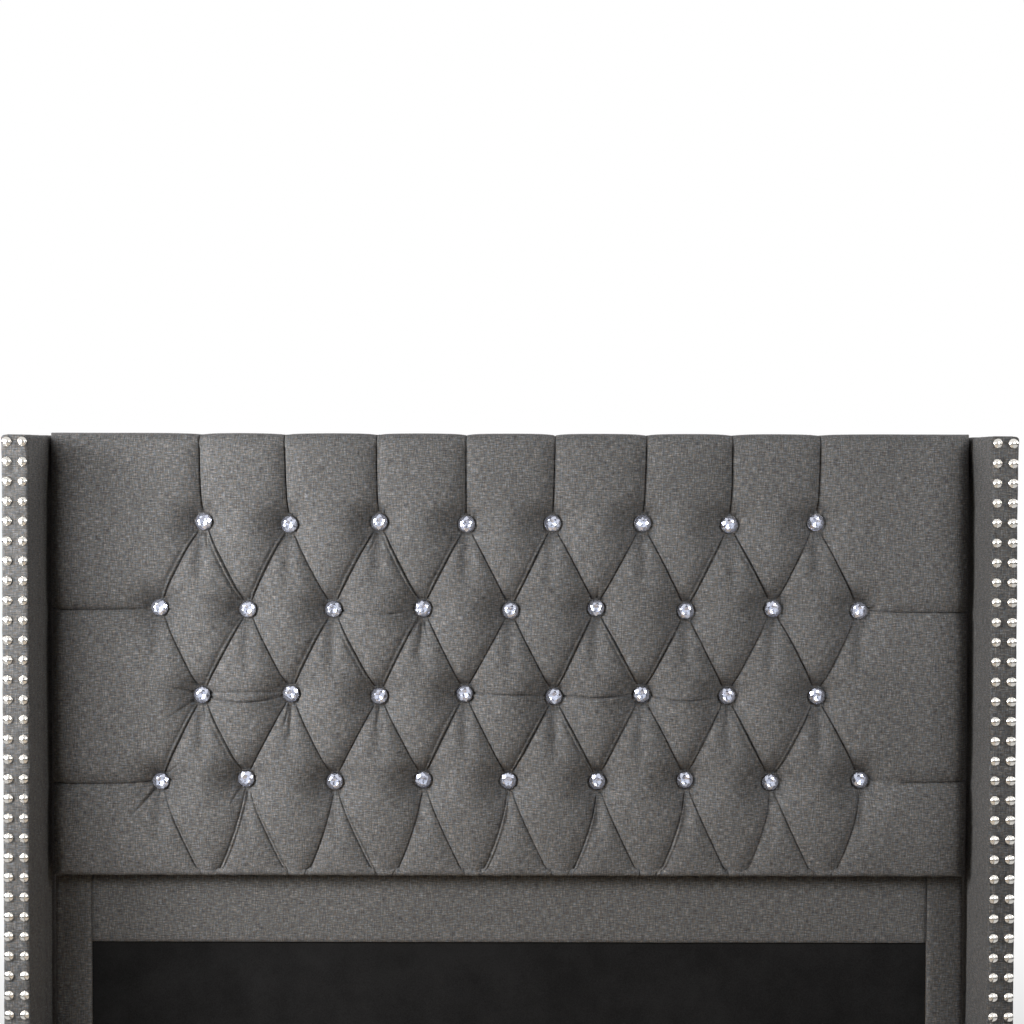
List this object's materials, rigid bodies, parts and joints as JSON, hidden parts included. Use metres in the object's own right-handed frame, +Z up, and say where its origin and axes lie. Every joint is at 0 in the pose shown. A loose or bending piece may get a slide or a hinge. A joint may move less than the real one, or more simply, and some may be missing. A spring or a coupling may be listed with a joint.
{
  "type": "upholstered bed",
  "caption": "Upholstered bed frame with a wingback headboard, diamond-tufted with crystal buttons, nailhead-trimmed wings, padded side rails and a slatted deck.",
  "frame": {"origin": "on the floor, at the middle of the bed's footprint", "axes": "+Z up, +Y from the foot end to the headboard, +X to the right of someone at the foot end who faces the headboard"},
  "size_m": [1.72, 2.146, 1.42],
  "materials": {
    "grey_linen": "heathered linen-look weave",
    "border_fabric": "flat heathered weave",
    "black_fabric": "flat non-woven",
    "dust_cover": "non-woven",
    "foam": "open-cell foam",
    "timber": "sawn pine",
    "plywood": "plywood",
    "slat_timber": "planed pine",
    "leg_timber": "black stain",
    "crystal": "faceted",
    "setting_metal": "polished",
    "nail_nickel": "polished nickel",
    "zinc_steel": "zinc-plated",
    "black_steel": "satin black",
    "twine": "waxed twine",
    "webbing": "woven strap",
    "black_plastic": "moulded"
  },
  "bodies": {
    "bed": {"assembly_bolts": "zinc_steel", "back_cover_staples": "zinc_steel", "beam_hanger_foot": "black_steel", "beam_hanger_head": "black_steel", "black_panel_cover": "black_fabric", "border_band": "border_fabric", "border_strip_left": "border_fabric", "border_strip_right": "border_fabric", "bracket_insert_nuts": "zinc_steel", "button_crystals": "crystal", "button_settings": "setting_metal", "centre_beam": "timber", "centre_leg_foot": "timber", "centre_leg_head": "timber", "centre_leg_inserts": "zinc_steel", "centre_leg_mid": "timber", "corner_brackets": "black_steel", "floor_glides": "black_plastic", "foot_leg_left": "leg_timber", "foot_leg_right": "leg_timber", "footboard_core": "timber", "footboard_cover": "grey_linen", "footboard_foam": "foam", "headboard_back_cover": "dust_cover", "headboard_bottom_rail": "timber", "headboard_mid_rail": "timber", "headboard_post_left": "timber", "headboard_post_right": "timber", "headboard_stile_left": "timber", "headboard_stile_right": "timber", "headboard_top_rail": "timber", "ledger_left": "timber", "ledger_right": "timber", "leg_bolts": "zinc_steel", "lower_facing_board": "plywood", "side_rail_core_left": "timber", "side_rail_core_right": "timber", "side_rail_cover_left": "grey_linen", "side_rail_cover_right": "grey_linen", "side_rail_foam_left": "foam", "side_rail_foam_right": "foam", "slat_straps": "webbing", "slats": "slat_timber", "tufted_cover": "grey_linen", "tufted_foam": "foam", "tufting_twines": "twine", "twine_anchors": "black_plastic", "upper_facing_board": "plywood", "wing_core_left": "timber", "wing_core_right": "timber", "wing_cover_left": "grey_linen", "wing_cover_right": "grey_linen", "wing_foam_left": "foam", "wing_foam_right": "foam", "wing_nailheads_left": "nail_nickel", "wing_nailheads_right": "nail_nickel", "wood_screws": "zinc_steel"},
    "levelling_foot_head": {"levelling_foot_head": "zinc_steel"},
    "levelling_foot_mid": {"levelling_foot_mid": "zinc_steel"},
    "levelling_foot_foot": {"levelling_foot_foot": "zinc_steel"}
  },
  "joints": [
    {"name": "levelling_foot_head_screw", "type": "slide", "parent": "bed", "child": "levelling_foot_head", "axis": [0, 0, -1], "range_m": [0, 0.012]},
    {"name": "levelling_foot_mid_screw", "type": "slide", "parent": "bed", "child": "levelling_foot_mid", "axis": [0, 0, -1], "range_m": [0, 0.012]},
    {"name": "levelling_foot_foot_screw", "type": "slide", "parent": "bed", "child": "levelling_foot_foot", "axis": [0, 0, -1], "range_m": [0, 0.012]}
  ]
}
